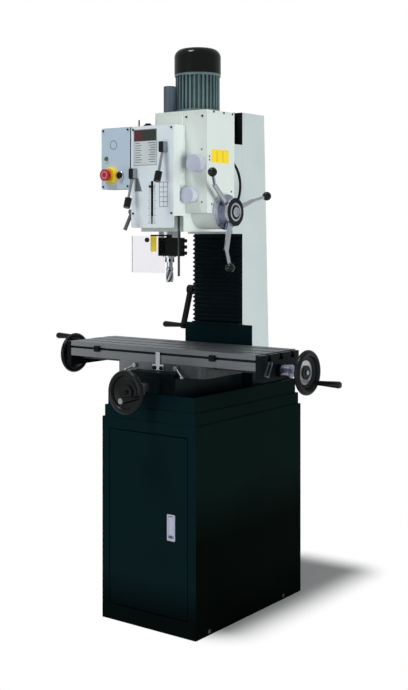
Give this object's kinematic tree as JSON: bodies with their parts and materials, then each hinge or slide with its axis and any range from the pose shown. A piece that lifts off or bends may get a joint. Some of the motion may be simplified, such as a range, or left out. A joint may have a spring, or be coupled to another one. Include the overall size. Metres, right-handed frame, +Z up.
{
  "type": "drill milling machine",
  "caption": "Gear-head drill milling machine with coordinate table, dovetail column, geared head with quill feed, bellows and guard, on a cabinet stand with chip tray and door.",
  "frame": {"origin": "centre of the cabinet footprint on the floor plane", "axes": "+X to the right along the table, +Y to the back towards the column, +Z up along the spindle"},
  "size_m": [1.2036, 0.8548, 1.962],
  "materials": {
    "black_enamel": "semi-gloss black enamel",
    "white_enamel": "gloss off-white enamel",
    "ground_iron": "ground cast iron, oiled",
    "bright_steel": "ground and turned steel",
    "black_steel": "black oxide and black paint",
    "chrome_plate": "polished chrome",
    "black_plastic": "moulded black plastic",
    "bellows_cloth": "coated cloth, matt black",
    "bronze": "cast bronze",
    "panel_sheet": "printed sheet, pale grey-white",
    "dial_plastic": "grey-blue moulded plastic",
    "motor_paint": "dark grey-green paint",
    "red_plastic": "red moulded plastic",
    "lamp_green": "green lens",
    "clear_sheet": "clear polycarbonate",
    "cable_rubber": "black cable sheath"
  },
  "bodies": {
    "stand": {"cabinet": "black_enamel", "machine_bolts": "bright_steel", "chip_tray": "black_enamel", "base_casting": "black_enamel", "column": "white_enamel", "way_plate": "black_enamel", "column_bellows": "bellows_cloth"},
    "door": {"cabinet_door": "black_enamel", "latch_plate": "bright_steel"},
    "paddle": {"latch_paddle": "bright_steel"},
    "cross_slide": {"saddle": "ground_iron", "stop_bracket": "bright_steel", "feed_nuts": "bronze"},
    "table_lock": {"table_lock_lever": "bright_steel"},
    "saddle_lock": {"saddle_lock_lever": "bright_steel"},
    "work_table": {"table": "ground_iron", "table_brackets": "black_enamel", "table_fittings": "bright_steel"},
    "x_screw": {"x_leadscrew": "bright_steel", "x_handwheels": "black_steel"},
    "left_grip": {"x_grip_left": "black_plastic"},
    "right_grip": {"x_grip_right": "black_plastic"},
    "y_screw": {"y_leadscrew": "bright_steel", "y_handwheel": "black_steel"},
    "cross_grip": {"y_grip": "black_plastic"},
    "lift_crank": {"z_crank": "black_steel"},
    "lift_grip": {"z_grip": "black_plastic"},
    "lift_screw": {"z_leadscrew": "bright_steel"},
    "head": {"head_casting": "white_enamel", "gearbox_housing": "white_enamel", "gearbox_lid": "white_enamel", "front_cover": "white_enamel", "front_panels": "panel_sheet", "control_box": "white_enamel", "indicator_lamp": "lamp_green", "cover_screws": "bright_steel", "motor_body": "motor_paint", "fan_cover": "black_enamel", "drawbar_cap": "motor_paint", "head_cable": "cable_rubber", "guard_post": "bright_steel"},
    "rotor": {"motor_rotor": "bright_steel"},
    "cluster": {"cluster_gear": "bright_steel"},
    "sleeve": {"spindle_sleeve": "bright_steel"},
    "quill_group": {"quill": "bright_steel", "depth_pointer": "black_plastic"},
    "spindle_group": {"spindle": "chrome_plate", "end_mill": "bright_steel"},
    "feed": {"feed_hub": "chrome_plate", "feed_spokes": "chrome_plate", "feed_balls": "black_plastic"},
    "left_lever": {"gear_lever_left": "black_plastic"},
    "right_lever": {"gear_lever_right": "black_plastic"},
    "upper_dial": {"speed_dial_upper": "dial_plastic"},
    "lower_dial": {"speed_dial_lower": "dial_plastic"},
    "quill_lock": {"quill_lock_lever": "bright_steel"},
    "estop": {"estop_button": "red_plastic"},
    "start": {"start_button": "black_plastic"},
    "guard": {"guard_bracket": "black_steel", "guard_shield": "clear_sheet"}
  },
  "joints": [
    {"name": "door_swing", "type": "hinge", "parent": "stand", "child": "door", "pos_m": [-0.1605, -0.3165, 0.356], "axis": [0, 0, -1], "range_deg": [0, 110]},
    {"name": "latch_pull", "type": "hinge", "parent": "door", "child": "paddle", "pos_m": [0.1005, -0.3215, 0.3885], "axis": [-1, 0, 0], "range_deg": [0, 50]},
    {"name": "y_screw_turn", "type": "hinge", "parent": "stand", "child": "y_screw", "pos_m": [0, -0.436, 0.805], "axis": [0, 1, 0], "range_deg": [-7921, 6121]},
    {"name": "saddle_travel", "type": "slide", "parent": "stand", "child": "cross_slide", "axis": [0, 1, 0], "range_m": [-0.11, 0.085]},
    {"name": "cross_grip_spin", "type": "hinge", "parent": "y_screw", "child": "cross_grip", "pos_m": [0.05771, -0.48, 0.79273], "axis": [0, 1, 0], "continuous": true},
    {"name": "x_screw_turn", "type": "hinge", "parent": "work_table", "child": "x_screw", "pos_m": [0, -0.144, 0.8786], "axis": [1, 0, 0], "range_deg": [-14401, 14401]},
    {"name": "table_travel", "type": "slide", "parent": "cross_slide", "child": "work_table", "axis": [1, 0, 0], "range_m": [-0.2, 0.2]},
    {"name": "right_grip_spin", "type": "hinge", "parent": "x_screw", "child": "right_grip", "pos_m": [0.56, -0.09815, 0.84147], "axis": [1, 0, 0], "continuous": true},
    {"name": "left_grip_spin", "type": "hinge", "parent": "x_screw", "child": "left_grip", "pos_m": [-0.55, -0.13783, 0.93728], "axis": [1, 0, 0], "continuous": true},
    {"name": "table_lock_turn", "type": "hinge", "parent": "cross_slide", "child": "table_lock", "pos_m": [-0.098, -0.273, 0.8733], "axis": [0, 1, 0], "range_deg": [0, 60]},
    {"name": "saddle_lock_turn", "type": "hinge", "parent": "cross_slide", "child": "saddle_lock", "pos_m": [0.082, -0.273, 0.8733], "axis": [0, -1, 0], "range_deg": [0, 60]},
    {"name": "lift_crank_turn", "type": "hinge", "parent": "stand", "child": "lift_crank", "pos_m": [-0.152, 0.125, 1.114], "axis": [1, 0, 0], "range_deg": [-14401, 7201]},
    {"name": "head_lift", "type": "slide", "parent": "stand", "child": "head", "axis": [0, 0, 1], "range_m": [-0.2, 0.1], "deforming": ["column_bellows"]},
    {"name": "lift_screw_turn", "type": "hinge", "parent": "stand", "child": "lift_screw", "pos_m": [0, 0.125, 1.3], "axis": [0, 0, 1], "range_deg": [-7201, 14401]},
    {"name": "lift_grip_spin", "type": "hinge", "parent": "lift_crank", "child": "lift_grip", "pos_m": [-0.2, 0.08106, 0.98318], "axis": [1, 0, 0], "continuous": true},
    {"name": "feed_turn", "type": "hinge", "parent": "head", "child": "feed", "pos_m": [0, -0.148, 1.397], "axis": [1, 0, 0], "range_deg": [0, 371.65], "stiffness_Nm_per_rad": 1, "springref_deg": -229.18},
    {"name": "quill_feed", "type": "slide", "parent": "head", "child": "quill_group", "axis": [0, 0, -1], "range_m": [0, 0.12]},
    {"name": "spindle_spin", "type": "hinge", "parent": "quill_group", "child": "spindle_group", "pos_m": [0, -0.204, 1.4], "axis": [0, 0, 1], "continuous": true},
    {"name": "sleeve_spin", "type": "hinge", "parent": "head", "child": "sleeve", "pos_m": [0, -0.204, 1.69], "axis": [0, 0, 1], "continuous": true},
    {"name": "cluster_spin", "type": "hinge", "parent": "head", "child": "cluster", "pos_m": [0.05, -0.178, 1.69], "axis": [0, 0, 1], "continuous": true},
    {"name": "motor_spin", "type": "hinge", "parent": "head", "child": "rotor", "pos_m": [0.06, -0.124, 1.8], "axis": [0, 0, 1], "continuous": true},
    {"name": "left_lever_turn", "type": "hinge", "parent": "head", "child": "left_lever", "pos_m": [-0.075, -0.3, 1.528], "axis": [0, 1, 0], "range_deg": [-40, 40]},
    {"name": "right_lever_turn", "type": "hinge", "parent": "head", "child": "right_lever", "pos_m": [0.056, -0.3, 1.614], "axis": [0, 1, 0], "range_deg": [-40, 40]},
    {"name": "upper_dial_turn", "type": "hinge", "parent": "head", "child": "upper_dial", "pos_m": [0.147, -0.24, 1.559], "axis": [0, 1, 0], "range_deg": [-150, 150]},
    {"name": "lower_dial_turn", "type": "hinge", "parent": "head", "child": "lower_dial", "pos_m": [0.12, -0.24, 1.453], "axis": [0, 1, 0], "range_deg": [-150, 150]},
    {"name": "quill_lock_turn", "type": "hinge", "parent": "head", "child": "quill_lock", "pos_m": [-0.104, -0.283, 1.399], "axis": [-1, 0, 0], "range_deg": [0, 40]},
    {"name": "estop_push", "type": "slide", "parent": "head", "child": "estop", "axis": [0, 1, 0], "range_m": [0, 0.006]},
    {"name": "start_push", "type": "slide", "parent": "head", "child": "start", "axis": [0, 1, 0], "range_m": [0, 0.003], "stiffness_N_per_m": 600},
    {"name": "guard_swing", "type": "hinge", "parent": "head", "child": "guard", "pos_m": [0.086, -0.264, 1.28], "axis": [0, 0, 1], "range_deg": [0, 110]}
  ],
  "couplings": [
    {"joint": "y_screw_turn", "follows": "saddle_travel", "rad_per_m": 1256.6},
    {"joint": "x_screw_turn", "follows": "table_travel", "rad_per_m": 1256.6},
    {"joint": "lift_crank_turn", "follows": "head_lift", "rad_per_m": 1256.6},
    {"joint": "lift_screw_turn", "follows": "head_lift", "rad_per_m": -1256.6},
    {"joint": "quill_feed", "follows": "feed_turn", "m_per_rad": 0.0185},
    {"joint": "sleeve_spin", "follows": "spindle_spin", "ratio": 1},
    {"joint": "cluster_spin", "follows": "spindle_spin", "ratio": -1.8},
    {"joint": "motor_spin", "follows": "spindle_spin", "ratio": 4.275}
  ]
}
